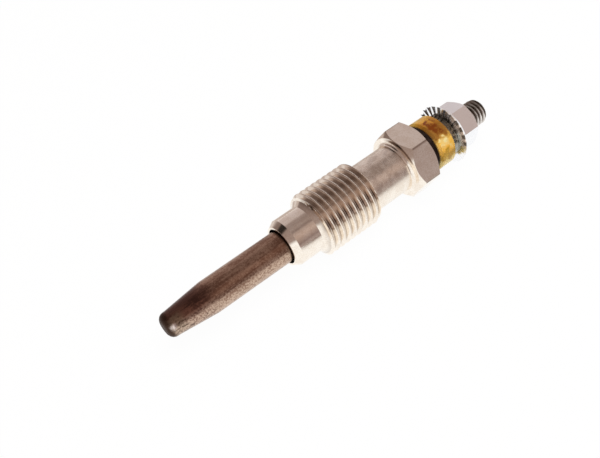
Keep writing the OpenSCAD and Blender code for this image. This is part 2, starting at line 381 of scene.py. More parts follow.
rubber_finish, shader, coords = new_finish("moulded_rubber", {"Specular IOR Level": 0.03})
bloom = coords.grain(900.0, 4.0)
pores = coords.grain(5200.0, 2.0)
bloom.rise(0.4, 0.75).tint(RUBBER_BLACK, RUBBER_WORN).feed(shader, "Base Color")
(0.42 + 0.25 * bloom).feed(shader, "Roughness")
relief(coords, shader, pores, RUBBER_RELIEF)
frame["nodes"]["tube_seal"].material_slots[0].material = rubber_finish

# Centre rod
# Steel rod that carries the current from the terminal to the coils, with a rolled M5 thread behind.
# The insulator and the tube seal hold it clear of the shell.
SPIGOT_R = 0.99
SPIGOT_LEN = 2.6
ROD_FRONT_R = 1.7
ROD_R = 2.2
ROD_STEP_X = 15.75
ROD_STEP_EDGE = 0.15
STUD_LEN = 11.6
SHANK_END_LEN = 10.4
STUD_PITCH = 0.8
STUD_PHASE = 0.0
STUD_ROOT_R = 2.01
STUD_END_R = 2.0
STUD_CHAMFER = 0.5
STUD_LEAD = 0.05
STUD_COLUMNS = 96
STUD_ROWS = 20
THREAD_CREST = 0.125
THREAD_ROOT = 0.16
THREAD_ROUNDING = 0.16
SEAM_WELD = 0.000001
RING_WELD = 0.000002
STEEL_PALE = (0.84, 0.80, 0.76, 1)
STEEL_DULL = (0.66, 0.61, 0.57, 1)
STEEL_GRIME_AND_SHADE = (0.20, 0.165, 0.135, 1)
CLEAN_CREST_OUT = (0.0021, 0.00242)
CLEAN_STUD_ALONG = (0.0368, 0.0374)
STUD_LIT_ROUND = (-0.12, 0.12)
STEEL_RELIEF = 0.000010


def thread_tree():
    """Geometry nodes for a right-handed screw thread along +X, with a cone that ends it at each side.
    Its rows of faces follow the helix, so that crest, flanks and root keep straight edges."""
    tree = bpy.data.node_groups.new("screw_thread", "GeometryNodeTree")
    floats = ("Pitch", "Phase", "Start", "End", "Crest radius", "Root radius", "Front radius",
              "Lead radius", "Lead length", "Front length", "Back radius", "Back length")
    for name in floats:
        tree.interface.new_socket(name, in_out="INPUT", socket_type="NodeSocketFloat")
    for name in ("Columns", "Rows per turn"):
        tree.interface.new_socket(name, in_out="INPUT", socket_type="NodeSocketInt")
    tree.interface.new_socket("Finish", in_out="INPUT", socket_type="NodeSocketMaterial")
    tree.interface.new_socket("Thread", in_out="OUTPUT", socket_type="NodeSocketGeometry")
    size = {socket.name: Signal(tree, socket) for socket in tree.nodes.new("NodeGroupInput").outputs}
    start = Signal(tree)
    turns = (size["End"] - size["Start"]) / size["Pitch"] + 1
    rows = start.math("CEIL", turns * size["Rows per turn"])
    sheet = start.node("GeometryNodeMeshGrid", {
        "Size X": 1.0, "Size Y": 1.0, "Vertices X": size["Columns"] + 1, "Vertices Y": rows + 1})
    across, along = start.node("GeometryNodeInputPosition").axes()[:2]
    round_turn = across + 0.5
    turn = (along + 0.5) * rows / size["Rows per turn"]
    station = size["Start"] + (turn + round_turn - 1) * size["Pitch"]
    station = start.math("MINIMUM", station.either(size["Start"]), size["End"])
    flank = 2 * start.math("ABSOLUTE", start.math("FRACT", turn + size["Phase"]) - 0.5)
    height = (flank - THREAD_ROOT) / (1 - THREAD_ROOT - THREAD_CREST)
    height = start.math("SMOOTH_MAX", height, 0.0, THREAD_ROUNDING)
    height = start.math("SMOOTH_MIN", height, 1.0, THREAD_ROUNDING)
    ridge = size["Root radius"] + (size["Crest radius"] - size["Root radius"]) * height
    from_start = station - size["Start"]
    lead_rise = size["Lead radius"] - size["Front radius"]
    front_rise = (size["Crest radius"] - size["Lead radius"]) / (size["Front length"] - size["Lead length"])
    front = size["Front radius"] + from_start * lead_rise / size["Lead length"]
    front = front.either(size["Lead radius"] + (from_start - size["Lead length"]) * front_rise)
    back_rise = (size["Crest radius"] - size["Back radius"]) / size["Back length"]
    back = size["Back radius"] + (size["End"] - station) * back_rise
    radius = start.math("MINIMUM", ridge, start.math("MINIMUM", front, back))
    angle = math.tau * round_turn
    point = start.node("ShaderNodeCombineXYZ", {
        0: station, 1: radius * start.math("COSINE", angle), 2: radius * start.math("SINE", angle)})
    bent = start.node("GeometryNodeSetPosition", {"Geometry": sheet, "Position": point})
    closed = start.node("GeometryNodeMergeByDistance", {"Geometry": bent, "Distance": SEAM_WELD})
    real = start.node("GeometryNodeRealizeInstances", {"Geometry": closed})
    dressed = start.node("GeometryNodeSetMaterial", {"Geometry": real, "Material": size["Finish"]})
    tree.links.new(dressed.socket, tree.nodes.new("NodeGroupOutput").inputs["Thread"])
    return tree


def grown(tree, sizes, mesh=None):
    """Plain mesh that a Geometry Nodes tree makes, with its inputs set by name."""
    carrier = bpy.data.objects.new(tree.name, mesh or bpy.data.meshes.new(tree.name))
    bpy.context.scene.collection.objects.link(carrier)
    modifier = carrier.modifiers.new(tree.name, "NODES")
    modifier.node_group = tree
    for socket in tree.interface.items_tree:
        if socket.in_out == "INPUT" and socket.name in sizes:
            modifier[socket.identifier] = sizes[socket.name]
    graph = bpy.context.evaluated_depsgraph_get()
    made = bpy.data.meshes.new_from_object(carrier.evaluated_get(graph), depsgraph=graph)
    carrier.modifiers.remove(modifier)
    bpy.data.objects.remove(carrier)
    return made


def joined(faces, mesh):
    """Adds a mesh to faces and merges the rings that they share."""
    faces.from_mesh(mesh)
    bpy.data.meshes.remove(mesh)
    bmesh.ops.remove_doubles(faces, verts=faces.verts, dist=RING_WELD)
    return faces


def radius_from(axes):
    """Distance from the plug's axis."""
    return axes[0].math("SQRT", axes[1] * axes[1] + axes[2] * axes[2])


rod_x, stud_end_x, stud_r = extent("centre_rod")
stud_x = stud_end_x - STUD_LEN
rod_back_x = stud_x - SHANK_END_LEN
screw_thread = thread_tree()

rod_finish, shader, coords = new_finish("rolled_steel", {"Metallic": 1.0})
axes = coords.axes()
stain = coords.grain(700.0, 5.0)
fine = coords.grain(4000.0, 3.0)
clean_and_lit = radius_from(axes).stray(stain, 0.00018).rise(*CLEAN_CREST_OUT) * axes[0].rise(*CLEAN_STUD_ALONG)
# dirt in the roots, and painted light and shade: the crests show clean steel mostly on the lower side, so the
# upper side of the stud is darker
clean_and_lit = clean_and_lit * (0.25 + 0.75 * facing(axes).rise(*STUD_LIT_ROUND))
steel = stain.rise(0.35, 0.7).tint(STEEL_DULL, STEEL_PALE)
clean_and_lit.tint(STEEL_GRIME_AND_SHADE, steel).feed(shader, "Base Color")
(0.32 - 0.20 * clean_and_lit + 0.08 * fine).feed(shader, "Roughness")
relief(coords, shader, fine, STEEL_RELIEF)

stud_thread = grown(screw_thread, {
    "Pitch": STUD_PITCH * MM,
    "Phase": STUD_PHASE,
    "Start": stud_x * MM,
    "End": stud_end_x * MM,
    "Crest radius": stud_r * MM,
    "Root radius": STUD_ROOT_R * MM,
    "Front radius": STUD_END_R * MM,
    "Lead radius": STUD_END_R * MM,
    "Lead length": STUD_LEAD * MM,
    "Front length": STUD_CHAMFER * MM,
    "Back radius": STUD_END_R * MM,
    "Back length": STUD_CHAMFER * MM,
    "Columns": STUD_COLUMNS,
    "Rows per turn": STUD_ROWS,
    "Finish": rod_finish,
})
STUD_TURN = turn_angles(STUD_COLUMNS)
rod_front = spun(rounded([
    (rod_x, 0, 0),
    (rod_x, SPIGOT_R, TURNED_EDGE),
    (rod_x + SPIGOT_LEN, SPIGOT_R, 0),
    (rod_x + SPIGOT_LEN, ROD_FRONT_R, TURNED_EDGE),
    (ROD_STEP_X, ROD_FRONT_R, 0),
    (ROD_STEP_X, ROD_R, ROD_STEP_EDGE),
    (rod_back_x, ROD_R, 0),
    (rod_back_x, stud_r, TURNED_EDGE),
    (stud_x, stud_r, TURNED_EDGE),
    (stud_x, STUD_END_R, 0),
]), STUD_TURN)
rod_end = plain_mesh("rod_end", spun([(stud_end_x, STUD_END_R), (stud_end_x, 0)], STUD_TURN))
centre_rod = finished("centre_rod_threaded", joined(joined(rod_front, stud_thread), rod_end), rod_finish)
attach(centre_rod, "root")
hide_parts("centre_rod")

# Shell
# Steel body, turned in one piece with its nose, mounting thread, shank and hexagon, then nickel plated.
# Everything else is pressed or clamped into it, and its thread screws into the cylinder head.
MOUTH_R = 3.4
MOUTH_DEPTH = 4.0
FACE_R = 3.76
FACE_EDGE = 0.06
NOSE_R = 4.45
CONE_LEN = 1.195
CONE_EDGE = 0.08
NOSE_LEN = 5.6
LEAD_R = 5.25
THREAD_PITCH = 1.25
THREAD_ROOT_R = 5.235
THREAD_ROWS = 32
THREAD_PHASE = 0.65
THREAD_END_X = 18.4
SHANK_R = 4.6
SHANK_FILLET = 0.6
HEX_X = 26.75
HEX_FRONT_R = 5.95
HEX_FRONT_SLOPE = math.radians(44)
HEX_BACK_R = 5.6
HEX_BACK_SLOPE = math.radians(35)
HEX_SIDES = 6
HEX_EDGE = 0.12
HEX_EDGE_STEPS = 3
COUNTERBORE_R = 3.9
COUNTERBORE_DEPTH = 5.0
ROD_BORE_R = 2.7
SEAT_R = 3.02
NEARLY = 0.9999
NICKEL_PALE = (1.0, 0.925, 0.825, 1)
NICKEL_DULL = (0.90, 0.80, 0.690, 1)
NICKEL_GRIME_AND_SHADE = (0.19, 0.120, 0.088, 1)
NICKEL_RELIEF = 0.000004
THREAD_ALONG = ((0.0058, 0.0066), (0.0174, 0.0180))
ROOT_DIRT_AND_SHADE_OUT = (0.00575, 0.00592)
ROOT_SHADE_SHIFT = 0.00035
ROOT_SHADE_SHIFT_ROUND = (-0.03, 0.06)
ROOT_SHADE_FROM_ROUND = (-0.35, -0.28)
# Share of dirt and painted shade in the thread's roots, then what is added to it past each place round the
# shell.
ROOT_DIRT_AND_SHADE = 0.60
ROOT_DIRT_AND_SHADE_CHANGES = (
    (-0.46, (-0.20, -0.03)),
    (0.60, (-0.02, 0.08)),
    (-0.43, (0.10, 0.17)),
)
SHANK_ALONG = ((0.0180, 0.0186), (0.0256, 0.0264))
SMUDGE_ROUND = (0.10, 0.20)
HEX_FACE_ALONG = ((0.0260, 0.0262), (0.0268, 0.0270))
HEX_SHADE_RING_OUT = ((0.00520, 0.00535), (0.00575, 0.00590))
HEX_SHADE_RING_ROUND = ((-0.40, -0.28), (0.05, 0.09))
HEX_CORNER_OUT = (0.00683, 0.00688)


def hexagon_radius(angle, flat_r, corner=0.0):
    """Distance from the axis to a hexagon's side in the direction of an angle, with a corner at one angle."""
    off = (angle - corner) % (math.tau / HEX_SIDES)
    return flat_r / math.cos(off - math.pi / HEX_SIDES)


shell_front, shell_back, hex_flat_r = extent("shell")
mount = next(m for m in frame["record"]["mounts"] if m["name"] == "mounting_thread")
thread_r = mount["dims"]["r_mm"]
crest_x = mount["pos_m"][0] / MM - mount["dims"]["length_mm"] / 2
crest_end_x = mount["pos_m"][0] / MM + mount["dims"]["length_mm"] / 2


def hexagon_front(angle):
    """Front edge of the hexagon's sides, where the front chamfer cuts them."""
    radius = hexagon_radius(angle, hex_flat_r)
    return HEX_X + (radius - HEX_FRONT_R) * math.tan(HEX_FRONT_SLOPE), radius


def hexagon_back(angle):
    """Back edge of the hexagon's sides, where the back chamfer cuts them."""
    radius = hexagon_radius(angle, hex_flat_r)
    return shell_back - (radius - HEX_BACK_R) * math.tan(HEX_BACK_SLOPE), radius


nickel_finish, shader, coords = new_finish("nickel_plating", {"Metallic": 1.0})
axes = coords.axes()
radius = radius_from(axes)
round_shell = facing(axes)
mottle = coords.grain(520.0, 5.0)
fine = coords.grain(3600.0, 4.0)
turning = coords.grain(1100.0, 3.0, (9, 0.25, 0.25))
in_thread = axes[0].between(*THREAD_ALONG)
root_dirt_and_shade_r = radius.stray(mottle, 0.00018) + ROOT_SHADE_SHIFT * round_shell.rise(*ROOT_SHADE_SHIFT_ROUND)
root_dirt_and_shade_share = ROOT_DIRT_AND_SHADE
for change, place in ROOT_DIRT_AND_SHADE_CHANGES:
    root_dirt_and_shade_share = root_dirt_and_shade_share + change * round_shell.rise(*place)
# dirt and painted shade in the thread's roots, made stronger or weaker round the shell
root_dirt_and_shade = in_thread * (1 - root_dirt_and_shade_r.rise(*ROOT_DIRT_AND_SHADE_OUT)) * root_dirt_and_shade_share
root_dirt_and_shade = root_dirt_and_shade * round_shell.rise(*ROOT_SHADE_FROM_ROUND)
# painted shade: a dark ring where the hexagon's front face meets its chamfer
hex_ring_painted_shade = axes[0].between(*HEX_FACE_ALONG) * radius.between(*HEX_SHADE_RING_OUT)
hex_ring_painted_shade = hex_ring_painted_shade * round_shell.between(*HEX_SHADE_RING_ROUND)
on_shank = axes[0].between(*SHANK_ALONG)
smudge = on_shank * coords.grain(800.0, 5.0).rise(0.46, 0.62) * (1 - round_shell.rise(*SMUDGE_ROUND))
# the hexagon's corners are made darker
darker_hex_corners = radius.rise(*HEX_CORNER_OUT)
dirt_and_shade = root_dirt_and_shade.either(0.8 * hex_ring_painted_shade).either(0.6 * darker_hex_corners).either(0.22 * smudge)
plating = (0.5 * mottle + 0.5 * fine).rise(0.40, 0.60).tint(NICKEL_DULL, NICKEL_PALE)
dirt_and_shade.tint(plating, NICKEL_GRIME_AND_SHADE).feed(shader, "Base Color")
roughness = 0.08 + 0.06 * mottle + 0.04 * fine
roughness = roughness + 0.10 * root_dirt_and_shade - 0.05 * in_thread + 0.14 * on_shank
roughness.feed(shader, "Roughness")
relief(coords, shader, 0.6 * turning + 0.4 * fine, NICKEL_RELIEF)

mounting_thread = grown(screw_thread, {
    "Pitch": THREAD_PITCH * MM,
    "Phase": THREAD_PHASE,
    "Start": NOSE_LEN * MM,
    "End": THREAD_END_X * MM,
    "Crest radius": thread_r * MM,
    "Root radius": THREAD_ROOT_R * MM,
    "Front radius": NOSE_R * MM,
    "Lead radius": LEAD_R * MM,
    "Lead length": (LEAD_R - NOSE_R) * MM,
    "Front length": (crest_x - NOSE_LEN) * MM,
    "Back radius": SHANK_R * MM,
    "Back length": (THREAD_END_X - crest_end_x) * MM,
    "Columns": COLUMNS,
    "Rows per turn": THREAD_ROWS,
    "Finish": nickel_finish,
})
shank = rounded([
    (THREAD_END_X, SHANK_R, 0),
    (HEX_X, SHANK_R, SHANK_FILLET),
    (HEX_X, HEX_FRONT_R, 0),
])
bores = rounded([
    (shell_back, HEX_BACK_R, 0),
    (shell_back, COUNTERBORE_R, TURNED_EDGE),
    (shell_back - COUNTERBORE_DEPTH, COUNTERBORE_R, 0),
    (shell_back - COUNTERBORE_DEPTH, ROD_BORE_R, 0),
    (tube_end_x, ROD_BORE_R, 0),
    (tube_end_x, SEAT_R, 0),
    (MOUTH_DEPTH, SEAT_R, 0),
    (MOUTH_DEPTH, MOUTH_R, 0),
    (shell_front, MOUTH_R, FACE_EDGE),
    (shell_front, FACE_R, FACE_EDGE),
    (CONE_LEN, NOSE_R, CONE_EDGE),
    (NOSE_LEN, NOSE_R, 0),
])
shell_faces = spun([*shank, hexagon_front, hexagon_back, *bores], TURN)
near_corner_r = NEARLY * hexagon_radius(0, hex_flat_r) * MM
corner_edges = [
    edge for edge in shell_faces.edges
    if all(math.hypot(*vert.co.yz) > near_corner_r for vert in edge.verts)
]
bmesh.ops.bevel(
    shell_faces, geom=corner_edges, offset=HEX_EDGE * MM,
    segments=HEX_EDGE_STEPS, profile=0.5, affect="EDGES")
shell = finished("shell_plated", joined(shell_faces, mounting_thread), nickel_finish)
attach(shell, "root")
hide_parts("shell")

# Gasket
# Soft rubber ring between the hexagon and the insulator, moulded with a skirt that goes into the shell.
# The round nut squeezes it, so its edge bulges a little.
SKIRT_LEN = 3.0
SKIRT_R = 3.88
SKIRT_EDGE = 0.15
GASKET_BORE_R = 3.32
GASKET_BULGE = 0.4

gasket_back, gasket_r = extent("gasket")[1:]
gasket = finished("gasket_ring", spun(rounded([
    (shell_back - SKIRT_LEN, GASKET_BORE_R, 0),
    (shell_back - SKIRT_LEN, SKIRT_R, SKIRT_EDGE),
    (shell_back, SKIRT_R, 0),
    (shell_back, gasket_r, GASKET_BULGE),
    (gasket_back, gasket_r, GASKET_BULGE),
    (gasket_back, GASKET_BORE_R, 0),
]), TURN, ring=True), rubber_finish)
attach(gasket, "root")
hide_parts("gasket")

# Insulator
# Bush of clear amber plastic, moulded with a flange and a sleeve that reaches into the shell.
# It keeps the rod apart from the shell, and lets the dark rod show through.
SLEEVE_R = 3.3
INSULATOR_BORE_R = 2.56
FLANGE_FRONT = 0.6
FLANGE_FRONT_EDGE = 0.3
FLANGE_FOOT_EDGE = 0.12
FLANGE_BACK = 0.3
FLANGE_BACK_EDGE = 0.15
# Painted light and shade round the amber, standing in for light seen through the bush. Places round it are in
# whole turns, with 0.5 at the upper front side.
AMBER_PAINTED_LIGHT_ROUND = (
    (0.290, (0.82, 0.52, 0.10, 1)),
    (0.335, (0.74, 0.38, 0.048, 1)),
    (0.375, (0.49, 0.215, 0.027, 1)),
    (0.415, (0.32, 0.140, 0.019, 1)),
    (0.490, (0.38, 0.170, 0.028, 1)),
    (0.530, (1.00, 0.62, 0.12, 1)),
    (0.585, (0.97, 0.54, 0.080, 1)),
    (0.615, (0.52, 0.29, 0.018, 1)),
    (0.645, (0.58, 0.35, 0.028, 1)),
    (0.670, (1.00, 0.78, 0.27, 1)),
)
AMBER_PAINTED_DARK = (0.20, 0.046, 0.003, 1)
AMBER_PAINTED_DARK_ROUND = ((0.345, 0.375), (0.470, 0.500))
AMBER_PAINTED_DARK_ALONG = ((0.0341, 0.0347), (0.0360, 0.0368))
AMBER_PAINTED_LIT = (1.00, 0.88, 0.42, 1)
AMBER_PAINTED_LIT_ROUND = ((0.500, 0.525), (0.555, 0.585))
AMBER_PAINTED_LIT_ALONG = ((0.0341, 0.0346), (0.0357, 0.0363))
AMBER_SHADE = (0.012, 0.008, 0.005, 1)
AMBER_SHADE_ALONG = (0.0334, 0.0337)
AMBER_RELIEF = 0.00006

amber_finish, shader, coords = new_finish("amber_plastic", {
    "Transmission Weight": 0.3, "IOR": 1.5, "Specular IOR Level": 0.2})
axes = coords.axes()
flow = coords.grain(300.0, 2.0, (1.6, 1, 1))
swirl = coords.grain(650.0, 2.0)
ripple = coords.grain(1500.0, 2.0, (0.7, 1, 1))
round_flow = (0.5 + 0.5 * facing(axes)).stray(flow, 0.10).stray(swirl, 0.09).stray(ripple, 0.07)
along_flow = axes[0].stray(swirl, 0.0018).stray(ripple, 0.0014)
# painted shade: a dark core where the dark rod shows through the amber
amber_painted_dark = round_flow.between(*AMBER_PAINTED_DARK_ROUND) * along_flow.between(*AMBER_PAINTED_DARK_ALONG)
amber_painted_dark = amber_painted_dark * (0.35 + 0.65 * ripple.rise(0.40, 0.58))
# painted light: a bright core where light comes through the amber
amber_painted_lit = round_flow.between(*AMBER_PAINTED_LIT_ROUND) * along_flow.between(*AMBER_PAINTED_LIT_ALONG)
amber_painted_lit = amber_painted_lit * (0.35 + 0.65 * ripple.rise(0.38, 0.56))
amber = coords.node("ShaderNodeValToRGB", {"Fac": round_flow}, {"stops": AMBER_PAINTED_LIGHT_ROUND})
amber = amber_painted_lit.tint(amber_painted_dark.tint(amber, AMBER_PAINTED_DARK), AMBER_PAINTED_LIT)
axes[0].rise(*AMBER_SHADE_ALONG).tint(AMBER_SHADE, amber).feed(shader, "Base Color")
(0.05 + 0.08 * flow).feed(shader, "Roughness")
relief(coords, shader, coords.grain(420.0, 1.0), AMBER_RELIEF)

sleeve_x, insulator_back, insulator_r = extent("insulator")
insulator = finished("insulator_bush", spun(rounded([
    (sleeve_x, INSULATOR_BORE_R, 0),
    (sleeve_x, SLEEVE_R, TURNED_EDGE),
    (gasket_back, SLEEVE_R, 0),
    (gasket_back, insulator_r - FLANGE_FRONT, FLANGE_FOOT_EDGE),
    (gasket_back + FLANGE_FRONT, insulator_r, FLANGE_FRONT_EDGE),
    (insulator_back - FLANGE_BACK, insulator_r, FLANGE_BACK_EDGE),
    (insulator_back, insulator_r - FLANGE_BACK, TURNED_EDGE),
    (insulator_back, INSULATOR_BORE_R, 0),
]), TURN, ring=True), amber_finish)
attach(insulator, "root")
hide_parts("insulator")

# Round nut
# Plain round nut of dark oxidised steel on the terminal thread.
# It clamps the insulator on the gasket and stays there when the terminal nut is taken off.
NUT_BORE_R = 2.52
ROUND_NUT_CHAMFER = 0.2
ROUND_NUT_EDGE = 0.05
OXIDE_BLACK = (0.26, 0.25, 0.205, 1)
OXIDE_WORN = (0.46, 0.44, 0.38, 1)
OXIDE_RELIEF = 0.000010

oxide_finish, shader, coords = new_finish("dark_oxide", {"Metallic": 1.0})
stain = coords.grain(900.0, 5.0)
turning = coords.grain(1500.0, 2.0, (6, 0.4, 0.4))
stain.rise(0.4, 0.75).tint(OXIDE_BLACK, OXIDE_WORN).feed(shader, "Base Color")
(0.08 + 0.08 * stain).feed(shader, "Roughness")
relief(coords, shader, turning, OXIDE_RELIEF)

round_nut_back, round_nut_r = extent("round_nut")[1:]
round_nut = finished("round_nut_oxidised", spun(rounded([
    (insulator_back, NUT_BORE_R, 0),
    (insulator_back, round_nut_r - ROUND_NUT_CHAMFER, 0),
    (insulator_back + ROUND_NUT_CHAMFER, round_nut_r, ROUND_NUT_EDGE),
    (round_nut_back - ROUND_NUT_CHAMFER, round_nut_r, ROUND_NUT_EDGE),
    (round_nut_back, round_nut_r - ROUND_NUT_CHAMFER, 0),
    (round_nut_back, NUT_BORE_R, 0),
]), TURN, ring=True), oxide_finish)
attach(round_nut, "root")
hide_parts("round_nut")

# Terminal nut
# Hexagon nut with a flange, cold formed in one piece and zinc plated. It clamps a cable eye on the terminal.
# Radial serrations under the flange keep it from working loose, so its rim is scalloped.
NUT_FLAT_R = 4.0
NUT_CORNER = math.radians(39.5)
FLANGE_RIM = 0.8
RIM_TAPER = math.radians(32)
FLANGE_SLOPE = math.radians(20)
NUT_TOP_R = 3.7
NUT_TOP_SLOPE = math.radians(30)
COUNTERSINK = 0.35
SERRATIONS = 24
SERRATION_DEPTH = 0.42
SERRATION_IN_R = 3.3
SERRATION_SHARE = 0.92
SERRATION_STEEP = math.radians(0.2)
SERRATION_STEPS = 6
RIM_EDGE = 0.05
ZINC_PALE = (0.97, 0.97, 0.98, 1)
ZINC_BLUE = (0.94, 0.945, 0.96, 1)
ZINC_PAINTED_LIGHT = (0.80, 0.70, 0.61, 1)
ZINC_PAINTED_SHADE = (0.035, 0.028, 0.021, 1)
ZINC_RELIEF = 0.000010
UNDER_FLANGE_ALONG = (0.0391, 0.0393)
UNDER_FLANGE_OUT = (0.0036, 0.0040)
SLIT_START = 0.02
SLIT_TOOTH = (0.03, 0.08)
SLIT_ROUND = (-0.12, 0.0)
RIM_SHADE_OUT = (0.0049, 0.0052)
RIM_SHADE_TOOTH = (0.55, 0.70)
RIM_SHADE_ROUND = ((-0.10, 0.0), (0.27, 0.33))
ZINC_LIGHT_OUT = (0.0043, 0.0051)
ZINC_LIGHT_ROUND = ((-0.20, -0.08), (0.22, 0.34))


def tapered_rim(rise):
    """Station and radius of the rim at a height over the nut's underside."""
    return nut_x + rise, flange_r - rise * math.tan(RIM_TAPER)


def serrated_rim(angle):
    """Lower edge of the rim, which jumps to full depth at the steep side of each serration and then falls."""
    groove = angle * SERRATIONS / math.tau % 1
    return tapered_rim(SERRATION_DEPTH * max(0, 1 - groove / SERRATION_SHARE))


def flange_top(angle):
    """Foot of the nut's sides, where they meet the sloping back of the flange."""
    radius = hexagon_radius(angle, NUT_FLAT_R, NUT_CORNER)
    return nut_x + FLANGE_RIM + (tapered_rim(FLANGE_RIM)[1] - radius) * math.tan(FLANGE_SLOPE), radius


def nut_top(angle):
    """Top edge of the nut's sides, where the top chamfer cuts them."""
    radius = hexagon_radius(angle, NUT_FLAT_R, NUT_CORNER)
    return nut_top_x - (radius - NUT_TOP_R) * math.tan(NUT_TOP_SLOPE), radius


def sixths_tree():
    """Geometry nodes that set equal parts side by side round the axis and weld them."""
    tree = bpy.data.node_groups.new("parts_round_axis", "GeometryNodeTree")
    tree.interface.new_socket("Part", in_out="INPUT", socket_type="NodeSocketGeometry")
    tree.interface.new_socket("Count", in_out="INPUT", socket_type="NodeSocketInt")
    tree.interface.new_socket("Weld distance", in_out="INPUT", socket_type="NodeSocketFloat")
    tree.interface.new_socket("Finish", in_out="INPUT", socket_type="NodeSocketMaterial")
    tree.interface.new_socket("Whole", in_out="OUTPUT", socket_type="NodeSocketGeometry")
    size = {socket.name: Signal(tree, socket) for socket in tree.nodes.new("NodeGroupInput").outputs}
    start = Signal(tree)
    line = start.node("GeometryNodeMeshLine", {"Count": size["Count"], "Offset": (0, 0, 0)})
    turn = start.node("GeometryNodeInputIndex") * math.tau / size["Count"]
    about_axis = start.node("ShaderNodeCombineXYZ", {0: turn})
    copies = start.node("GeometryNodeInstanceOnPoints", {
        "Points": line, "Instance": size["Part"], "Rotation": about_axis})
    real = start.node("GeometryNodeRealizeInstances", {"Geometry": copies})
    welded = start.node("GeometryNodeMergeByDistance", {"Geometry": real, "Distance": size["Weld distance"]})
    dressed = start.node("GeometryNodeSetMaterial", {"Geometry": welded, "Material": size["Finish"]})
    tree.links.new(dressed.socket, tree.nodes.new("NodeGroupOutput").inputs["Whole"])
    return tree


nut_x, nut_top_x = extent("terminal_nut")[:2]
flange_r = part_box("terminal_nut")[1].y / MM

zinc_finish, shader, coords = new_finish("zinc_plating", {})
axes = coords.axes()
radius = radius_from(axes)
round_nut_side = facing(axes)
cloud = coords.grain(380.0, 4.0)
fine = coords.grain(3000.0, 4.0)
teeth = coords.math("ARCTAN2", axes[2], axes[1]) * SERRATIONS / math.tau
in_tooth = coords.math("FRACT", teeth + SLIT_START)
under = (1 - axes[0].rise(*UNDER_FLANGE_ALONG)) * radius.rise(*UNDER_FLANGE_OUT)
# painted shade: the steep wall of each serration is black, as if in shadow
slit_painted_shade = (1 - in_tooth.rise(*SLIT_TOOTH)) * (0.75 + 0.25 * round_nut_side.rise(*SLIT_ROUND))
# painted shade: the rim's teeth darken on the side round the nut where they lie against the shaded underside
rim_painted_shade = round_nut_side.between(*RIM_SHADE_ROUND) * radius.rise(*RIM_SHADE_OUT)
rim_painted_shade = rim_painted_shade * (1 - in_tooth.rise(*RIM_SHADE_TOOTH))
nut_painted_shade = under * slit_painted_shade.either(0.8 * rim_painted_shade)
# painted light: on one side the outer part of the flange's underside is made pale and dull, so it looks lit
dull_painted_light = under * round_nut_side.between(*ZINC_LIGHT_ROUND) * radius.rise(*ZINC_LIGHT_OUT)
plating = cloud.rise(0.35, 0.7).tint(ZINC_BLUE, ZINC_PALE)
nut_painted_shade.tint(dull_painted_light.tint(plating, ZINC_PAINTED_LIGHT), ZINC_PAINTED_SHADE).feed(shader, "Base Color")
(1 - 0.7 * dull_painted_light).feed(shader, "Metallic")
(0.12 + 0.08 * cloud + 0.04 * fine + 0.4 * nut_painted_shade).feed(shader, "Roughness")
relief(coords, shader, 0.5 * cloud + 0.5 * fine, ZINC_RELIEF)

tooth = math.tau / SERRATIONS
sixth_start = tooth / 2
sixth_end = sixth_start + math.tau / HEX_SIDES
sixth_angles = [NUT_CORNER, sixth_start, sixth_end]
for number in range(SERRATIONS // HEX_SIDES + 1):
    steps = [tooth * (number + step / SERRATION_STEPS) for step in range(SERRATION_STEPS)]
    steps.append(tooth * number - SERRATION_STEEP)
    sixth_angles += [angle for angle in steps if sixth_start < angle < sixth_end]
sixth = plain_mesh("nut_sixth", spun([
    (nut_x, NUT_BORE_R),
    (nut_x, SERRATION_IN_R),
    serrated_rim,
    tapered_rim(SERRATION_DEPTH + RIM_EDGE),
    tapered_rim(FLANGE_RIM - RIM_EDGE),
    tapered_rim(FLANGE_RIM),
    flange_top,
    nut_top,
    (nut_top_x, NUT_TOP_R),
    (nut_top_x, NUT_BORE_R + COUNTERSINK),
    (nut_top_x - COUNTERSINK, NUT_BORE_R),
], sorted(sixth_angles), ring=True, whole=False))
nut_sizes = {"Count": HEX_SIDES, "Weld distance": RING_WELD, "Finish": zinc_finish}
nut_mesh = grown(sixths_tree(), nut_sizes, sixth)
terminal_nut = finished("terminal_nut_serrated", joined(bmesh.new(), nut_mesh), zinc_finish)
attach(terminal_nut, "root")
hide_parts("terminal_nut")

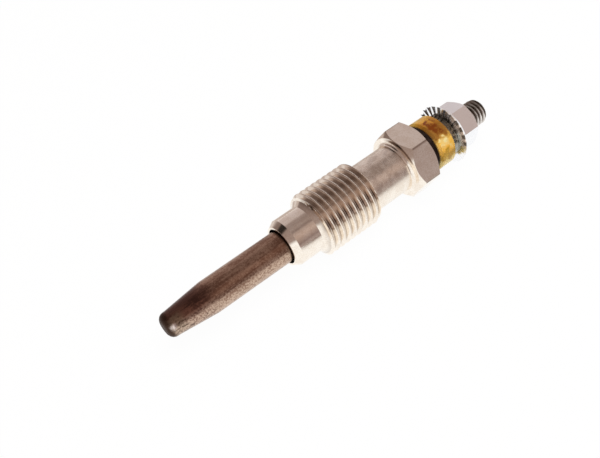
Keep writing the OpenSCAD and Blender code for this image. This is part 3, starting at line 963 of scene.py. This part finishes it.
# Floor and light
# White ground that fades into the backdrop, under soft light from above.
# Bright metal mirrors the white ground, and the warm dim room beyond it.
FLOOR_HALF = 1.5
FLOOR_WHITE = (0.86, 0.86, 0.86, 1)
FLOOR_GREY = (0.84, 0.84, 0.84, 1)
FLOOR_GRAIN = 30.0
FLOOR_GLOW = 0.97
FLOOR_SHADE_BEYOND = (0.56, 0.48, 0.45, 1)
FLOOR_SHADE_BEFORE = (0.30, 0.235, 0.215, 1)
BEYOND_SHELL = (0.012, 0.024)
BEYOND_NOSE = (-0.008, 0.0)
BEYOND_SLANT = 0.15
BEYOND_NEAR = (0.018, 0.030)
BEYOND_FAR = (0.045, 0.060)
BEFORE_PLUG = (0.008, 0.075)
BEFORE_NOSE = (-0.004, 0.004)
BEFORE_SLANT = 0.33
WHITE = (1, 1, 1, 1)
ROOM_BEHIND_TERMINAL = (
    (0.042, (0.376, 0.301, 0.287, 1)),
    (0.083, (0.254, 0.188, 0.176, 1)),
    (0.125, (0.330, 0.250, 0.228, 1)),
    (0.167, (0.380, 0.290, 0.262, 1)),
    (0.260, (0.500, 0.385, 0.340, 1)),
    (0.360, (0.425, 0.329, 0.297, 1)),
    (0.415, (0.240, 0.180, 0.163, 1)),
    (0.480, (0.335, 0.263, 0.241, 1)),
    (0.572, (0.285, 0.223, 0.205, 1)),
    (0.650, (0.310, 0.243, 0.225, 1)),
    (0.706, (0.498, 0.423, 0.409, 1)),
    (0.833, (0.526, 0.451, 0.442, 1)),
    (0.940, (0.602, 0.526, 0.517, 1)),
    (0.975, (0.658, 0.583, 0.573, 1)),
    (1.000, WHITE),
)
ROOM_BEFORE_TIP = (0.34, 0.260, 0.235, 1)
ROOM_BEYOND_TIP = (0.22, 0.165, 0.148, 1)
ROOM_TIP_SIDE = (-0.3, 0.9)
ROOM_LOW_FRONT = (-0.12, 0.3)
ROOM_LOW_SLANT = 1.2
ROOM_DARK = (0.025, 0.020, 0.017, 1)
ROOM_DARK_TOWARD = (-0.474, 0.53, 0.704)
ROOM_DARK_SPOT = (0.93, 0.985)
BACKDROP_LOW = (0.40, 0.70)
BACKDROP_SLANT = 1.5
BACKDROP_AHEAD = (0.62, 0.74)
ROOM_TIP_TO_TERMINAL = (-0.35, 0.1)
LAMP_PLACE = Vector((0.05, -0.08, 0.5))
LAMP_SIZE = 0.5
LAMP_POWER = 2.5


def ray(signal, kind):
    """1 on rays of one kind, such as Is Camera Ray."""
    return signal.node("ShaderNodeLightPath", output=kind)


floor_corners = [
    (x * FLOOR_HALF, y * FLOOR_HALF, cad_box[0].z)
    for x, y in ((-1, -1), (1, -1), (1, 1), (-1, 1))
]
floor_mesh = bpy.data.meshes.new("floor")
floor_mesh.from_pydata(floor_corners, [], [(0, 1, 2, 3)])
floor = bpy.data.objects.new("floor", floor_mesh)
bpy.context.scene.collection.objects.link(floor)
floor_finish, shader, coords = new_finish("white_ground", {"Roughness": 0.9, "Specular IOR Level": 0.0})
coords.grain(FLOOR_GRAIN).tint(FLOOR_GREY, FLOOR_WHITE).feed(shader, "Base Color")
along, across = coords.axes()[:2]
# painted shade: patches of the ground beyond the shell and in front of the plug are darker, but only in
# reflections
shade_beyond = across.rise(*BEYOND_SHELL) * (along - BEYOND_SLANT * across).rise(*BEYOND_NOSE)
shade_beyond = shade_beyond.either(0.6 * across.rise(*BEYOND_NEAR)).either(across.rise(*BEYOND_FAR))
shade_in_front = (-1 * across).rise(*BEFORE_PLUG) * (along + BEFORE_SLANT * across).rise(*BEFORE_NOSE)
glossy = ray(coords, "Is Glossy Ray")
mirrored_floor = (glossy * shade_beyond).tint(WHITE, FLOOR_SHADE_BEYOND)
mirrored_floor = (glossy * shade_in_front).tint(mirrored_floor, FLOOR_SHADE_BEFORE)
glow = coords.node("ShaderNodeEmission", {"Color": mirrored_floor, "Strength": 1.0})
share = glossy.either(ray(coords, "Is Transmission Ray")).either(FLOOR_GLOW * ray(coords, "Is Camera Ray"))
ground = coords.node("ShaderNodeMixShader", {0: share, 1: Signal(coords.tree, shader.outputs[0]), 2: glow})
coords.tree.links.new(ground.socket, coords.tree.nodes["Material Output"].inputs["Surface"])
floor_mesh.materials.append(floor_finish)

world = bpy.data.worlds.new("room")
world.use_nodes = True
bpy.context.scene.world = world
sky = Signal(world.node_tree)
toward = sky.node("ShaderNodeTexCoord", output="Generated")
ahead, side, up = toward.axes()
over = sky.math("ARCTAN2", up, -1 * side) / math.pi
dark = sky.node(
    "ShaderNodeVectorMath", {0: toward, 1: ROOM_DARK_TOWARD}, {"operation": "DOT_PRODUCT"}, "Value")
before = side.rise(*ROOM_TIP_SIDE).tint(ROOM_BEFORE_TIP, ROOM_BEYOND_TIP)
before = (-1 * side - ROOM_LOW_SLANT * up).rise(*ROOM_LOW_FRONT).tint(before, WHITE)
before = dark.rise(*ROOM_DARK_SPOT).tint(before, ROOM_DARK)
backdrop = (ahead - BACKDROP_SLANT * up).rise(*BACKDROP_LOW).either(ahead.rise(*BACKDROP_AHEAD))
behind = sky.node("ShaderNodeValToRGB", {"Fac": over}, {"stops": ROOM_BEHIND_TERMINAL})
behind = backdrop.tint(behind, WHITE)
room = ahead.rise(*ROOM_TIP_TO_TERMINAL).tint(before, behind)
seen = ray(sky, "Is Camera Ray").either(ray(sky, "Is Transmission Ray"))
seen.tint(room, WHITE).feed(world.node_tree.nodes["Background"], "Color")

lamp = bpy.data.lights.new("soft_lamp", "AREA")
lamp.shape = "DISK"
lamp.size = LAMP_SIZE
lamp.energy = LAMP_POWER
lamp_object = bpy.data.objects.new("soft_lamp", lamp)
lamp_object.location = LAMP_PLACE
lamp_object.rotation_euler = (-LAMP_PLACE).to_track_quat("-Z", "Y").to_euler()
lamp_object.visible_glossy = False
bpy.context.scene.collection.objects.link(lamp_object)
bpy.context.scene.view_settings.view_transform = "Standard"

# Camera
# Stands near the tip's side of the plug, above it, turned a little about its own axis.
# Its place comes from the outlines and edges of the standard-sized parts.
VIEW_AIM = Vector((4.774, 0.862, 0)) * MM
VIEW_DISTANCE = 138.15 * MM
VIEW_AZIMUTH = math.radians(-32.35)
VIEW_ELEVATION = math.radians(47.73)
VIEW_ROLL = math.radians(-9.61)
VIEW_LENS = 48.156
VIEW_NEAREST = 0.005

view_camera = bpy.data.cameras.new("camera")
view_camera.lens = VIEW_LENS
view_camera.clip_start = VIEW_NEAREST
back = Vector((
    math.sin(VIEW_AZIMUTH) * math.cos(VIEW_ELEVATION),
    -math.cos(VIEW_AZIMUTH) * math.cos(VIEW_ELEVATION),
    math.sin(VIEW_ELEVATION),
))
camera = bpy.data.objects.new("camera", view_camera)
camera.location = VIEW_AIM + back * VIEW_DISTANCE
camera.rotation_mode = "QUATERNION"
camera.rotation_quaternion = back.to_track_quat("Z", "Y") @ Quaternion((0, 0, 1), VIEW_ROLL)
bpy.context.scene.collection.objects.link(camera)
bpy.context.scene.camera = camera
